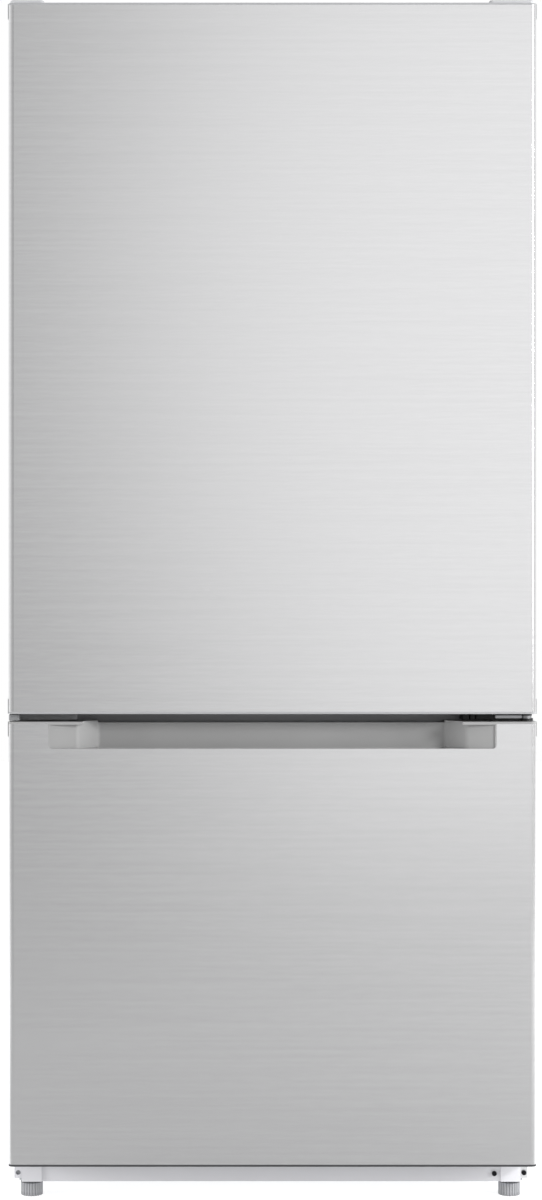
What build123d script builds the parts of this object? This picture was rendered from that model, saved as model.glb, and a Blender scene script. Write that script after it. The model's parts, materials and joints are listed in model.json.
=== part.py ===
"""Bottom freezer refrigerator with two right-hinged doors.

Millimetres. +Z is up, the doors face -Y, and the origin is on the floor under the middle of the body.
"""

from build123d import *
import math
import os

os.makedirs("parts", exist_ok=True)

# --- Driving dimensions -------------------------------------------------------------------------------

# Cabinet
cabinet_width = 744.0
cabinet_depth = 697.0
sheet = 0.8  # painted steel of the cabinet and stainless steel of the doors
flange = 16.0  # front return of the side and top panels
liner_wall = 2.0
fridge_side_wall = 45.0  # outside of the cabinet to the inside of the food compartment
freezer_side_wall = 60.0
ceiling_wall = 52.0
back_wall = 50.0
freezer_floor_wall = 60.0
divider_half = 30.0  # half of the wall between the compartments
liner_corner = 14.0
liner_back_corner = 13.5
smallest_corner = 1.0
back_rib = 1.2
back_ribs = 5
back_rib_width = 60.0
bead_depth = 1.0  # of the bead along the rail between the compartments
bead_height = 6.0

# Heights from the floor up
foot_height = 24.0
panel_above_foot = 4.0
toe_rail_height = 29.0
freezer_door_above_rail = 5.0
freezer_door_height = 631.0
door_gap = 11.3
fridge_door_height = 1009.0
door_above_cabinet = 5.5

# Toe rail
toe_rail_inset = 11.0  # from the side of the cabinet
toe_rail_above_foot = 0.5
toe_rail_depth = 8.0
toe_rail_wall = 2.0
toe_pad_half = 14.5  # pads where the foot brackets are welded on
toe_pad_depth = 2.5
toe_tab = 3.0  # thickness of the tab for the spare hinge place

# Machine compartment, at the bottom of the back
machine_depth = 215.0
machine_top = 250.0
machine_wall = 45.0

# Doors
door_overhang = 3.0  # beyond the cabinet at each side
door_thickness = 66.0
door_edge_radius = 8.0
seal_gap = 12.0  # between the back of a door and the front of the cabinet
seal_clearance = 0.3
cap_plate = 3.0
cap_height = 21.0
cap_proud = 1.0
skin_return = 12.0
dyke_width = 22.0
dyke_depth = 45.0
dyke_clearance = 15.0  # from the liner wall
dyke_corner = 10.0
gasket_inset = 10.0  # from the side of the cabinet
gasket_width = 22.0
gasket_neck = 12.0
gasket_base = 3.0
gasket_head = 4.7

# Hinges
hinge_inset = 10.0  # pin axis from the edge of the doors
pin_radius = 4.0
pin_clearance = 0.06
pin_length = 15.0
hinge_plate = 4.0
hinge_nose = 7.0
hinge_tail = 95.0
hinge_collar = 7.5  # radius of the spacer on the middle pin
hinge_clearance = 0.3
hinge_face = 3.0  # plates that are screwed to the front of the cabinet
hinge_face_past_pin = 4.0
hinge_foot_half = 11.0
hinge_foot_setback = 4.0
hinge_foot_inset = 2.0
top_arm_reach = 52.0  # from the pin towards the middle
blank_cover_reach = 37.0  # of the cover at the corner without a hinge
top_arm_lift = 2.0
middle_arm_reach = 46.0
bottom_arm_reach = 37.0
bottom_arm_drop = 2.0
screw_radius = 4.5
screw_head = 2.5
front_screw_radius = 3.5
top_screw_inset = 10.0  # from the pin towards the middle
top_screw_count = 3
top_screw_setback = 30.0  # of the first one, behind the front of the cabinet
top_screw_pitch = 22.0
middle_screw_margin = 12.0  # from the end of the arm
middle_screw_pitch = 24.0
middle_screw_rise = 7.0
base_screw_height = 8.0
base_screw_reach = 42.0  # of the inner one from the pin
base_screw_margin = 5.5  # of the outer one from the end of the rail
bore_extra = 1.5  # depth of a pin's bore beyond the pin
plug_length = 93.0
plug_end_length = 15.0
plug_end_setback = 10.0  # behind the front of the doors
plug_half_height = 4.0
plug_corner = 3.0
arm_cover_length = 46.0
arm_cover_nose = 9.0
arm_cover_overlap = 5.0
arm_cover_clearance = 0.5
arm_cover_slot = 9.5  # from the end of the cover
arm_cover_slot_pitch = 8.6
arm_cover_slot_width = 2.0
corner_cover_wall = 1.8
corner_cover_rise = 4.5
corner_cover_clearance = 1.0
corner_cover_corner = 6.0
corner_cover_edge = 4.0

# Pocket handle
window_inset = 57.0  # from the side of the door
window_depth = 38.0
window_corner = 6.0
rim_edge = 2.0
rim_step = 2.0
rim_width = 40.0
rim_depth = 10.0
rim_bend = 12.0  # radius between the shallow rim and the steep end
pocket_top_inset = 48.0  # from the end of the window
pocket_back = 46.0  # from the front of the door to the back wall of the pocket
pocket_slope = 8.0
lip_thickness = 8.0
pocket_below_lip = 26.0
pocket_radius = 9.0
pocket_floor_wall = 6.0
pocket_end_slope = 26.0
pocket_ceiling = 4.0
pocket_back_drop = 3.0  # of the pocket's back wall below the top of the door
groove_margin = 2.0
grip_height = 16.0
grip_lip = 10.0
grip_back = 44.0

# Door bins
bin_wall = 2.5
bin_corner = 10.0
bin_depth = 104.0
bin_height = 100.0
bin_front_drop = 28.0
bin_side_clearance = 1.0
bin_ledge = 8.0
fridge_bin_count = 3
fridge_bin_first = 60.0  # above the bottom of the dyke
fridge_bin_pitch = 290.0
freezer_bin_depth = 82.0
freezer_bin_count = 2
freezer_bin_first = 70.0
freezer_bin_pitch = 235.0

# Food compartment fittings
shelf_front_clearance = 22.0  # behind the door bins
shelf_side_clearance = 3.0
shelf_thickness = 16.0
shelf_glass = 4.0
shelf_rim = 18.0
shelf_rebate = 8.0
shelf_heights = (480.0, 700.0)  # above the compartment floor
rail_height = 10.0
rail_width = 12.0
rail_setback = 30.0  # from the front of the shelf and from the back wall
crisper_height = 190.0
crisper_floor_clearance = 0.3
crisper_depth = 440.0
crisper_wall = 2.5
crisper_corner = 16.0
crisper_draft = 14.0
crisper_gap = 14.0
crisper_side_gap = 26.0
crisper_top_gap = 4.0
crisper_front_clearance = 20.0
crisper_frame_height = 20.0
crisper_grip = 14.0
slider_length = 44.0
slider_height = 9.0
slider_depth = 6.0
slider_travel = 60.0
slider_clearance = 0.3
slider_corner = 1.0
slider_ridge_pitch = 4.0
slider_ridge_half = 0.8
slider_ridge_rise = 1.2
duct_half = 90.0
duct_depth = 18.0
duct_bottom = 240.0
duct_top_gap = 60.0
vent_count = 7
vent_half = 60.0
vent_height = 8.0
housing_half = 150.0
housing_depth = 120.0
housing_height = 34.0
housing_corner = 6.0
lens_depth = 110.0
lens_height = 18.0
lens_bulge_place = 0.7  # share of the depth at which the curve is set
lens_bulge = 0.8  # share of the height that is left there
knob_radius = 17.0
knob_depth = 14.0
knob_disc_inset = 2.0
knob_grip = 5.0
knob_grip_depth = 4.0
knob_grip_inset = 3.0
knob_clearance = 0.3
shaft_radius = 3.0
shaft_clearance = 0.05
shaft_length = 12.0

# Freezer fittings
drawer_wall = 2.5
drawer_corner = 14.0
drawer_side_gap = 16.0
drawer_front_clearance = 20.0
drawer_back_clearance = 12.0
drawer_front_plate = 5.0
drawer_grip = 16.0
drawer_gap = 12.0
runner_height = 5.0
runner_reach = 14.0
drawer_rim = 8.0
runner_clearance = 0.3
evaporator_space = 82.0
evaporator_cover_wall = 2.5
fin_count = 10
fin_thickness = 1.0
fin_depth = 50.0
fin_height = 110.0
coil_half = 210.0
coil_tube = 4.0
coil_rows = 4
coil_pitch = 26.0
coil_rise = 24.0
fan_radius = 52.0
fan_hub_radius = 17.0
fan_hub_length = 16.0
fan_blade_thickness = 2.0
fan_blade_count = 5
fan_root_chord = 18.0
fan_root_pitch = 42.0  # degrees from the fan's plane
fan_tip_chord = 36.0
fan_tip_pitch = 20.0
fan_ring_gap = 4.0
fan_from_top = 74.0
fan_root_sink = 1.0
grille_slots = 6
grille_margin = 20.0
return_slots = 4
return_slot_pitch = 138.0
motor_radius = 20.0
motor_length = 22.0
motor_gap = 1.0

# Machine compartment fittings
machine_plate_height = 46.0
machine_plate_lip = 12.0
compressor_x = -190.0
compressor_radius = 72.0
compressor_height = 165.0
compressor_dome = 42.0
compressor_flange = 5.0
compressor_flange_height = 8.0
compressor_foot_half = 95.0
compressor_foot_depth = 56.0
compressor_foot_height = 10.0
compressor_foot_plate = 3.0
compressor_foot_inset = 16.0
compressor_grommet_radius = 9.0
condenser_x = 215.0
condenser_half = 95.0
condenser_rows = 5
condenser_pitch = 26.0
condenser_layer_pitch = 60.0
condenser_tube = 3.0
condenser_end = 4.0
condenser_plate_inset = 10.0
condenser_fan_x = 40.0
bracket_wall = 3.0
pan_half_x = 100.0
pan_half_y = 75.0
pan_height = 24.0
pan_wall = 2.0
pan_corner = 10.0
pan_draft = 4.0
cover_height = 192.0
cover_slots = 12
cover_slot_pitch = 16.0
cover_slot_width = 6.0
cover_slot_height = 90.0
cover_slot_x = 180.0
gland_radius = 9.0
gland_bore = 4.0
gland_x = 20.0
gland_height = 14.0
gland_length = 9.0

# Feet and rollers
foot_radius = 16.0
foot_waist = 14.6
foot_flange = 3.0
foot_ribs = 24
foot_rib_radius = 1.5
foot_inset = 24.0  # axis from the side of the cabinet
foot_setback = 18.0  # axis behind the front of the cabinet
stud_radius = 5.0
stud_clearance = 0.1
stud_end_gap = 2.0
foot_bracket_half = 17.0
foot_bracket_clearance = 0.3
roller_radius = 20.0
roller_width = 22.0
roller_inset = 52.0  # middle from the side of the cabinet
roller_chamfer = 1.5
roller_setback = 60.0  # axis ahead of the back of the cabinet
axle_radius = 4.0
axle_clearance = 0.06
roller_ear = 3.0
roller_gap = 0.5

over = 1.0  # how far a cut runs past the face that it opens

# --- Places worked out from them ----------------------------------------------------------------------

front_y = -(cabinet_depth + seal_gap + door_thickness) / 2
door_back_y = front_y + door_thickness
case_front_y = door_back_y + seal_gap
case_back_y = case_front_y + cabinet_depth
half_width = cabinet_width / 2
inside_x = half_width - sheet
door_half = half_width + door_overhang
door_width = 2 * door_half

panel_bottom_z = foot_height + panel_above_foot
rail_top_z = panel_bottom_z + toe_rail_height
freezer_door_z = rail_top_z + freezer_door_above_rail
freezer_door_top_z = freezer_door_z + freezer_door_height
fridge_door_z = freezer_door_top_z + door_gap
fridge_door_top_z = fridge_door_z + fridge_door_height
case_top_z = fridge_door_top_z - door_above_cabinet
divider_z = freezer_door_top_z + door_gap / 2

foam_front_y = case_front_y + liner_wall
cavity_back_y = case_back_y - back_wall
fridge_half = half_width - fridge_side_wall
fridge_floor_z = divider_z + divider_half
fridge_ceiling_z = case_top_z - ceiling_wall
freezer_half = half_width - freezer_side_wall
freezer_floor_z = rail_top_z + freezer_floor_wall
freezer_ceiling_z = divider_z - divider_half
machine_front_y = case_back_y - machine_depth
step_y = machine_front_y - machine_wall
step_z = machine_top + machine_wall
center_rail_half = divider_half / 2
liner_flange_x = inside_x - flange
toe_rail_half = half_width - toe_rail_inset
toe_rail_y = case_front_y - toe_rail_depth
toe_rail_z = foot_height + toe_rail_above_foot
foot_x = half_width - foot_inset
roller_x = half_width - roller_inset
window_half = door_half - window_inset
pocket_top_half = window_half - pocket_top_inset

hinge_x = door_half - hinge_inset
hinge_y = front_y + door_thickness / 2
top_arm_x = hinge_x - top_arm_reach
middle_arm_x = hinge_x - middle_arm_reach


def keep(piece, name):
    """Labels a finished piece and writes it as one STEP file."""
    piece.part.label = name
    export_step(piece.part, f"parts/{name}.step")


def block(x0, x1, y0, y1, z0, z1, mode=Mode.ADD):
    """A box between two corners, in the part that is being built."""
    with Locations(((x0 + x1) / 2, (y0 + y1) / 2, (z0 + z1) / 2)):
        Box(x1 - x0, y1 - y0, z1 - z0, mode=mode)


def rounded_block(x0, x1, y0, y1, z0, z1, radius, mode=Mode.ADD, taper=0.0):
    """A box whose upright edges are rounded, with a draft on its sides if it has one."""
    with BuildSketch(Plane.XY.offset(z0)) as plan:
        with Locations(((x0 + x1) / 2, (y0 + y1) / 2)):
            RectangleRounded(x1 - x0, y1 - y0, radius)
    extrude(plan.sketch, amount=z1 - z0, taper=taper, mode=mode)


def post(x, y, z0, z1, radius, mode=Mode.ADD):
    """An upright cylinder."""
    with Locations((x, y, (z0 + z1) / 2)):
        Cylinder(radius, z1 - z0, mode=mode)


def rod_y(x, z, y0, y1, radius, mode=Mode.ADD):
    """A cylinder that lies front to back."""
    with Locations(Location((x, (y0 + y1) / 2, z), (90, 0, 0))):
        Cylinder(radius, y1 - y0, mode=mode)


def rod_x(y, z, x0, x1, radius, mode=Mode.ADD):
    """A cylinder that lies side to side."""
    with Locations(Location(((x0 + x1) / 2, y, z), (0, 90, 0))):
        Cylinder(radius, x1 - x0, mode=mode)


def ring(half_x, z0, z1, width, y0, y1, corner):
    """An upright rectangular frame, such as a gasket or the raised edge inside a door."""
    with BuildSketch(Plane.XZ.offset(-y1)) as frame_face:
        with Locations((0, (z0 + z1) / 2)):
            RectangleRounded(2 * half_x, z1 - z0, corner)
            RectangleRounded(2 * (half_x - width), z1 - z0 - 2 * width,
                             max(corner - width, smallest_corner), mode=Mode.SUBTRACT)
    extrude(frame_face.sketch, amount=y1 - y0)


# --- Cabinet panels -----------------------------------------------------------------------------------

with BuildPart() as right_side_panel:
    with BuildSketch(Plane.XY.offset(panel_bottom_z)):
        with Locations((half_width - sheet / 2, (case_front_y + case_back_y) / 2)):
            Rectangle(sheet, cabinet_depth)
        with Locations((half_width - flange / 2, case_front_y + sheet / 2)):
            Rectangle(flange, sheet)
        with Locations((half_width - flange / 2, case_back_y - sheet / 2)):
            Rectangle(flange, sheet)
    extrude(amount=case_top_z - sheet - panel_bottom_z)
keep(right_side_panel, "right_side_panel")

with BuildPart() as left_side_panel:
    mirror(right_side_panel.part, about=Plane.YZ)
keep(left_side_panel, "left_side_panel")

with BuildPart() as top_panel:
    block(-half_width, half_width, case_front_y, case_back_y, case_top_z - sheet, case_top_z)
    block(-liner_flange_x, liner_flange_x, case_front_y, case_front_y + sheet,
          case_top_z - flange, case_top_z - sheet)
keep(top_panel, "top_panel")

with BuildPart() as back_panel:
    panel_y = case_back_y - sheet - back_rib
    block(-liner_flange_x, liner_flange_x, panel_y, panel_y + sheet, machine_top, case_top_z - sheet)
    with BuildSketch(Plane.XZ.offset(-case_back_y)):
        with Locations((0, (machine_top + case_top_z) / 2)):
            with GridLocations(2 * liner_flange_x / back_ribs, 1, back_ribs, 1):
                SlotOverall(case_top_z - machine_top - back_wall * 2, back_rib_width, rotation=90)
    extrude(amount=back_rib)
keep(back_panel, "back_panel")

bracket_z = foot_height + foot_bracket_clearance
with BuildPart() as bottom_panel:
    with BuildSketch(Plane.YZ.offset(-inside_x)) as folded:
        with BuildLine():
            Polyline(
                (foam_front_y, rail_top_z),
                (machine_front_y, rail_top_z),
                (machine_front_y, machine_top),
                (case_back_y - sheet - back_rib, machine_top),
                (case_back_y - sheet - back_rib, machine_top - sheet),
                (machine_front_y + sheet, machine_top - sheet),
                (machine_front_y + sheet, rail_top_z - sheet),
                (foam_front_y, rail_top_z - sheet),
                close=True,
            )
        make_face()
    extrude(amount=2 * inside_x)
    for side in (-1, 1):
        foot_axis_y = case_front_y + foot_setback
        with Locations((side * foot_x, foot_axis_y, (bracket_z + rail_top_z - sheet) / 2)):
            Box(2 * foot_bracket_half, 2 * foot_bracket_half, rail_top_z - sheet - bracket_z)
        post(side * foot_x, foot_axis_y, bracket_z, rail_top_z + over, stud_radius + stud_clearance,
             mode=Mode.SUBTRACT)
keep(bottom_panel, "bottom_panel")

# --- Liners and foam ----------------------------------------------------------------------------------


def fridge_cavity(grow):
    """The space inside the food compartment, grown outwards by a wall."""
    with BuildPart(mode=Mode.PRIVATE) as space:
        block(-fridge_half - grow, fridge_half + grow, case_front_y, cavity_back_y + grow,
              fridge_floor_z - grow, fridge_ceiling_z + grow)
        fillet(space.edges().filter_by(Axis.Y), liner_corner + grow)
        fillet(space.faces().sort_by(Axis.Y)[-1].edges(), liner_back_corner + grow)
    return space.part


def freezer_cavity(grow):
    """The space inside the freezer, with the step over the machine compartment, grown by a wall."""
    with BuildPart(mode=Mode.PRIVATE) as space:
        with BuildSketch(Plane.YZ.offset(-freezer_half - grow)):
            with BuildLine():
                Polyline(
                    (case_front_y, freezer_floor_z - grow),
                    (step_y + grow, freezer_floor_z - grow),
                    (step_y + grow, step_z - grow),
                    (cavity_back_y + grow, step_z - grow),
                    (cavity_back_y + grow, freezer_ceiling_z + grow),
                    (case_front_y, freezer_ceiling_z + grow),
                    close=True,
                )
            make_face()
        extrude(amount=2 * (freezer_half + grow))
    return space.part


def front_flange(z0, z1):
    """The flat front edge of a liner, between the side panels' returns."""
    block(-liner_flange_x, liner_flange_x, case_front_y, case_front_y + liner_wall, z0, z1)


with BuildPart() as fridge_liner:
    add(fridge_cavity(liner_wall))
    front_flange(divider_z + center_rail_half, case_top_z - flange)
    add(fridge_cavity(0), mode=Mode.SUBTRACT)
keep(fridge_liner, "fridge_liner")

with BuildPart() as freezer_liner:
    add(freezer_cavity(liner_wall))
    front_flange(rail_top_z, divider_z - center_rail_half)
    add(freezer_cavity(0), mode=Mode.SUBTRACT)
keep(freezer_liner, "freezer_liner")

with BuildPart() as foam_insulation:
    with BuildSketch(Plane.YZ.offset(-inside_x)):
        with BuildLine():
            Polyline(
                (foam_front_y, rail_top_z),
                (machine_front_y, rail_top_z),
                (machine_front_y, machine_top),
                (case_back_y - sheet - back_rib, machine_top),
                (case_back_y - sheet - back_rib, case_top_z - sheet),
                (foam_front_y, case_top_z - sheet),
                close=True,
            )
        make_face()
    extrude(amount=2 * inside_x)
    add(fridge_cavity(liner_wall), mode=Mode.SUBTRACT)
    add(freezer_cavity(liner_wall), mode=Mode.SUBTRACT)
keep(foam_insulation, "foam_insulation")

with BuildPart() as center_rail:
    front_flange(divider_z - center_rail_half, divider_z + center_rail_half)
    block(plug_length - half_width, fridge_half - hinge_tail, case_front_y - bead_depth,
          case_front_y, divider_z - bead_height, divider_z + bead_height)
keep(center_rail, "center_rail")

# --- Base: toe rail, machine plate, feet and rollers --------------------------------------------------

with BuildPart() as toe_rail:
    with BuildSketch(Plane.YZ.offset(-toe_rail_half)):
        with BuildLine():
            Polyline(
                (case_front_y, toe_rail_z),
                (toe_rail_y, toe_rail_z),
                (toe_rail_y, rail_top_z - toe_rail_wall),
                (case_front_y, rail_top_z - toe_rail_wall),
                (case_front_y, rail_top_z - 2 * toe_rail_wall),
                (toe_rail_y + toe_rail_wall, rail_top_z - 2 * toe_rail_wall),
                (toe_rail_y + toe_rail_wall, toe_rail_z + toe_rail_wall),
                (case_front_y, toe_rail_z + toe_rail_wall),
                close=True,
            )
        make_face()
    extrude(amount=2 * toe_rail_half)
    for side in (-1, 1):
        pad_x = side * (toe_rail_half - toe_pad_half)
        block(pad_x - toe_pad_half, pad_x + toe_pad_half, toe_rail_y - toe_pad_depth, toe_rail_y,
              toe_rail_z, rail_top_z - toe_rail_wall)
    # The tab at the left takes the bottom hinge when the doors are hung on that side.
    block(-half_width, -toe_rail_half, case_front_y - toe_tab, case_front_y, panel_bottom_z,
          rail_top_z - toe_rail_wall)
    rod_y(-toe_rail_half - base_screw_margin, panel_bottom_z + base_screw_height,
          case_front_y - toe_tab - over, case_front_y + over, front_screw_radius, mode=Mode.SUBTRACT)
keep(toe_rail, "toe_rail")

roller_y = case_back_y - roller_setback
plate_z = machine_plate_height
with BuildPart() as machine_plate:
    block(-inside_x, inside_x, machine_front_y + sheet, case_back_y - sheet, plate_z, plate_z + 2 * sheet)
    block(-inside_x, inside_x, case_back_y - 3 * sheet, case_back_y - sheet, plate_z,
          plate_z + machine_plate_lip)
    for side in (-1, 1):
        for edge in (-1, 1):
            ear_x = side * roller_x + edge * (roller_width / 2 + roller_gap + roller_ear / 2)
            with BuildSketch(Plane.YZ.offset(ear_x - roller_ear / 2)):
                with Locations((roller_y, roller_radius)):
                    Circle(2 * axle_radius)
                with Locations((roller_y, (roller_radius + plate_z) / 2)):
                    Rectangle(4 * axle_radius, plate_z - roller_radius)
            extrude(amount=roller_ear)
        rod_x(roller_y, roller_radius, side * roller_x - roller_width / 2 - roller_ear,
              side * roller_x + roller_width / 2 + roller_ear, axle_radius)
keep(machine_plate, "machine_plate")


def roller(side):
    """A nylon roller on its axle."""
    with BuildPart() as wheel:
        with BuildSketch(Plane.YZ.offset(side * roller_x - roller_width / 2)):
            with Locations((roller_y, roller_radius)):
                Circle(roller_radius)
                Circle(axle_radius + axle_clearance, mode=Mode.SUBTRACT)
        extrude(amount=roller_width)
        rims = wheel.edges().filter_by(GeomType.CIRCLE).filter_by(lambda e: e.radius > roller_radius / 2)
        chamfer(rims, roller_chamfer)
    return wheel


def foot(side):
    """A levelling foot: a ribbed knob on a threaded stud."""
    axis = (side * foot_x, case_front_y + foot_setback)
    with BuildPart() as knob:
        with BuildSketch(Plane.XY):
            with Locations(axis):
                Circle(foot_waist)
                with PolarLocations(foot_waist, foot_ribs):
                    Circle(foot_rib_radius)
        extrude(amount=foot_height - foot_flange)
        chamfer(knob.faces().sort_by(Axis.Z)[0].edges(), foot_rib_radius / 3)
        post(*axis, foot_height - foot_flange, foot_height, foot_radius)
        post(*axis, foot_height, rail_top_z - sheet - stud_end_gap, stud_radius)
    return knob


for side, word in ((-1, "left"), (1, "right")):
    keep(roller(side), f"{word}_rear_roller")
    keep(foot(side), f"{word}_levelling_foot")

# --- Doors --------------------------------------------------------------------------------------------


def door_outline(inset):
    """The outline of a door seen from above, with rounded front corners."""
    with BuildSketch(mode=Mode.PRIVATE) as outline:
        with Locations((0, (front_y + door_back_y) / 2)):
            Rectangle(door_width - 2 * inset, door_thickness - 2 * inset)
        fillet(outline.vertices().group_by(Axis.Y)[0], door_edge_radius - inset)
    return outline.sketch


def door_slab(inset, z0, z1):
    """A slice of a door, inside its skin by the inset."""
    with BuildSketch(Plane.XY.offset(z0)) as slab:
        add(door_outline(inset))
    extrude(slab.sketch, amount=z1 - z0)


def skin(z0, z1):
    """The folded steel sheet round the front and sides of a door, with its returns at the back."""
    with BuildSketch(Plane.XY.offset(z0)) as fold:
        add(door_outline(0))
        add(door_outline(sheet), mode=Mode.SUBTRACT)
        with Locations((0, door_back_y)):
            Rectangle(2 * (door_half - skin_return), 2 * door_thickness / 3, mode=Mode.SUBTRACT)
    extrude(fold.sketch, amount=z1 - z0)


def cheeks(z0, z1):
    """The edges of an end cap, which stand proud of the steel at the sides."""
    for side in (-1, 1):
        inner = side * door_half
        outer = side * (door_half + cap_proud)
        block(min(inner, outer), max(inner, outer), front_y + door_edge_radius, door_back_y, z0, z1)


def gasket(half_x, z0, z1):
    """The magnetic seal: a base held in the door, a soft neck and a head against the cabinet."""
    base_y = door_back_y + gasket_base
    head_y = case_front_y - seal_clearance - gasket_head
    margin = (gasket_width - gasket_neck) / 2
    with BuildPart() as seal:
        ring(half_x, z0, z1, gasket_width, door_back_y, base_y, dyke_corner)
        ring(half_x - margin, z0 + margin, z1 - margin, gasket_neck, base_y, head_y, dyke_corner)
        ring(half_x, z0, z1, gasket_width, head_y, head_y + gasket_head, dyke_corner)
    return seal


def bins(half_x, depth, first_z, pitch, count):
    """The shelves of a door: open trays that are lower at the front."""
    with BuildPart() as trays:
        for index in range(count):
            z0 = first_z + index * pitch
            rounded_block(-half_x, half_x, door_back_y, door_back_y + depth, z0, z0 + bin_height, bin_corner)
            rounded_block(-half_x + bin_wall, half_x - bin_wall, door_back_y + bin_wall,
                          door_back_y + depth - bin_wall, z0 + bin_wall, z0 + bin_height + over,
                          bin_corner - bin_wall, mode=Mode.SUBTRACT)
            with BuildSketch(Plane.YZ.offset(-half_x - over)) as slope:
                with BuildLine():
                    Polyline(
                        (door_back_y + dyke_depth, z0 + bin_height),
                        (door_back_y + depth + over, z0 + bin_height - bin_front_drop),
                        (door_back_y + depth + over, z0 + bin_height + over),
                        (door_back_y + dyke_depth, z0 + bin_height + over),
                        close=True,
                    )
                make_face()
            extrude(slope.sketch, amount=2 * (half_x + over), mode=Mode.SUBTRACT)
    return trays


def inner_panel(z0, z1, half_x, dyke_z0, dyke_z1, bin_half, first_z, pitch, count):
    """The foamed inside of a door, with its raised edge and the ledges that carry the bins."""
    with BuildPart() as panel:
        door_slab(sheet, z0, z1)
        block(skin_return - door_half, door_half - skin_return, door_back_y - sheet, door_back_y, z0, z1)
        ring(half_x, dyke_z0, dyke_z1, dyke_width, door_back_y, door_back_y + dyke_depth, dyke_corner)
        for index in range(count):
            ledge_z = first_z + index * pitch
            for side in (-1, 1):
                near = side * (half_x - dyke_width)
                far = side * (bin_half - bin_ledge)
                block(min(near, far), max(near, far), door_back_y, door_back_y + dyke_depth,
                      ledge_z - bin_ledge, ledge_z)
    return panel


fridge_dyke_half = fridge_half - dyke_clearance
fridge_dyke_z = fridge_floor_z + dyke_clearance
fridge_dyke_top_z = fridge_ceiling_z - dyke_clearance
fridge_bin_half = fridge_dyke_half - dyke_width - bin_side_clearance
fridge_bin_z = fridge_dyke_z + fridge_bin_first
freezer_dyke_half = freezer_half - dyke_clearance
freezer_dyke_z = freezer_floor_z + dyke_clearance
freezer_dyke_top_z = freezer_ceiling_z - dyke_clearance
freezer_bin_half = freezer_dyke_half - dyke_width - bin_side_clearance
freezer_bin_z = freezer_dyke_z + freezer_bin_first
bore_radius = pin_radius + pin_clearance
bore_depth = pin_length + bore_extra

with BuildPart() as fridge_door_skin:
    skin(fridge_door_z + cap_plate, fridge_door_top_z - cap_plate)
keep(fridge_door_skin, "fridge_door_skin")

with BuildPart() as fridge_door_top_cap:
    door_slab(0, fridge_door_top_z - cap_plate, fridge_door_top_z)
    door_slab(sheet, fridge_door_top_z - cap_height, fridge_door_top_z - cap_plate)
    cheeks(fridge_door_top_z - cap_height, fridge_door_top_z)
    post(hinge_x, hinge_y, fridge_door_top_z - bore_depth, fridge_door_top_z + over, bore_radius,
         mode=Mode.SUBTRACT)
keep(fridge_door_top_cap, "fridge_door_top_cap")

with BuildPart() as fridge_door_bottom_cap:
    door_slab(0, fridge_door_z, fridge_door_z + cap_plate)
    door_slab(sheet, fridge_door_z + cap_plate, fridge_door_z + cap_height)
    cheeks(fridge_door_z, fridge_door_z + cap_height)
    rounded_block(-pocket_top_half, pocket_top_half, front_y + grip_lip, front_y + grip_back,
                  fridge_door_z - over, fridge_door_z + grip_height, pocket_radius, mode=Mode.SUBTRACT)
    post(hinge_x, hinge_y, fridge_door_z - over, fridge_door_z + bore_depth, bore_radius, mode=Mode.SUBTRACT)
keep(fridge_door_bottom_cap, "fridge_door_bottom_cap")

keep(inner_panel(fridge_door_z + cap_height, fridge_door_top_z - cap_height, fridge_dyke_half,
                 fridge_dyke_z, fridge_dyke_top_z, fridge_bin_half, fridge_bin_z, fridge_bin_pitch,
                 fridge_bin_count), "fridge_door_inner_panel")
keep(gasket(half_width - gasket_inset, divider_z + center_rail_half, case_top_z - gasket_inset),
     "fridge_door_gasket")
keep(bins(fridge_bin_half, bin_depth, fridge_bin_z, fridge_bin_pitch, fridge_bin_count), "fridge_door_bins")

# --- Pocket handle ------------------------------------------------------------------------------------

window_z = freezer_door_top_z - window_depth
pocket_floor_z = window_z - pocket_below_lip
moulding_z = pocket_floor_z - pocket_floor_wall
mouth_half = window_half - rim_edge
end_half = mouth_half - rim_width
back_half = end_half - pocket_end_slope
groove_half = back_half - groove_margin


def window(y0, y1, mode=Mode.ADD):
    """The opening for the handle in the front of the freezer door."""
    with BuildSketch(Plane.XZ.offset(-y1)) as opening:
        with BuildLine():
            Polyline(
                (-window_half, freezer_door_top_z),
                (-window_half, window_z),
                (window_half, window_z),
                (window_half, freezer_door_top_z),
                close=True,
            )
        make_face()
        fillet(opening.vertices().group_by(Axis.Y)[0], window_corner)
    extrude(opening.sketch, amount=y1 - y0, mode=mode)


def mouth(z0, z1, half_x):
    """Cuts the mouth of the pocket: a shallow rim at each side, and then a steep end down to the back."""
    with BuildSketch(Plane.XY.offset(z0)) as plan:
        with BuildLine():
            Polyline(
                (-mouth_half, front_y - over),
                (mouth_half, front_y - over),
                (mouth_half, front_y + rim_step),
                (end_half, front_y + rim_depth),
                (back_half, front_y + pocket_back),
                (-back_half, front_y + pocket_back),
                (-end_half, front_y + rim_depth),
                (-mouth_half, front_y + rim_step),
                close=True,
            )
        make_face()
        fillet(plan.vertices().group_by(Axis.Y)[-1], pocket_radius)
        bends = plan.vertices().filter_by(lambda v: abs(v.Y - front_y - rim_depth) < over)
        fillet(bends, rim_bend)
        with Locations((0, front_y)):
            Rectangle(2 * half_x, 4 * pocket_back, mode=Mode.INTERSECT)
    extrude(plan.sketch, amount=z1 - z0, mode=Mode.SUBTRACT)


with BuildPart() as freezer_door_skin:
    skin(freezer_door_z + cap_plate, freezer_door_top_z - cap_plate)
    window(front_y - over, front_y + 2 * sheet, mode=Mode.SUBTRACT)
keep(freezer_door_skin, "freezer_door_skin")

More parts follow.
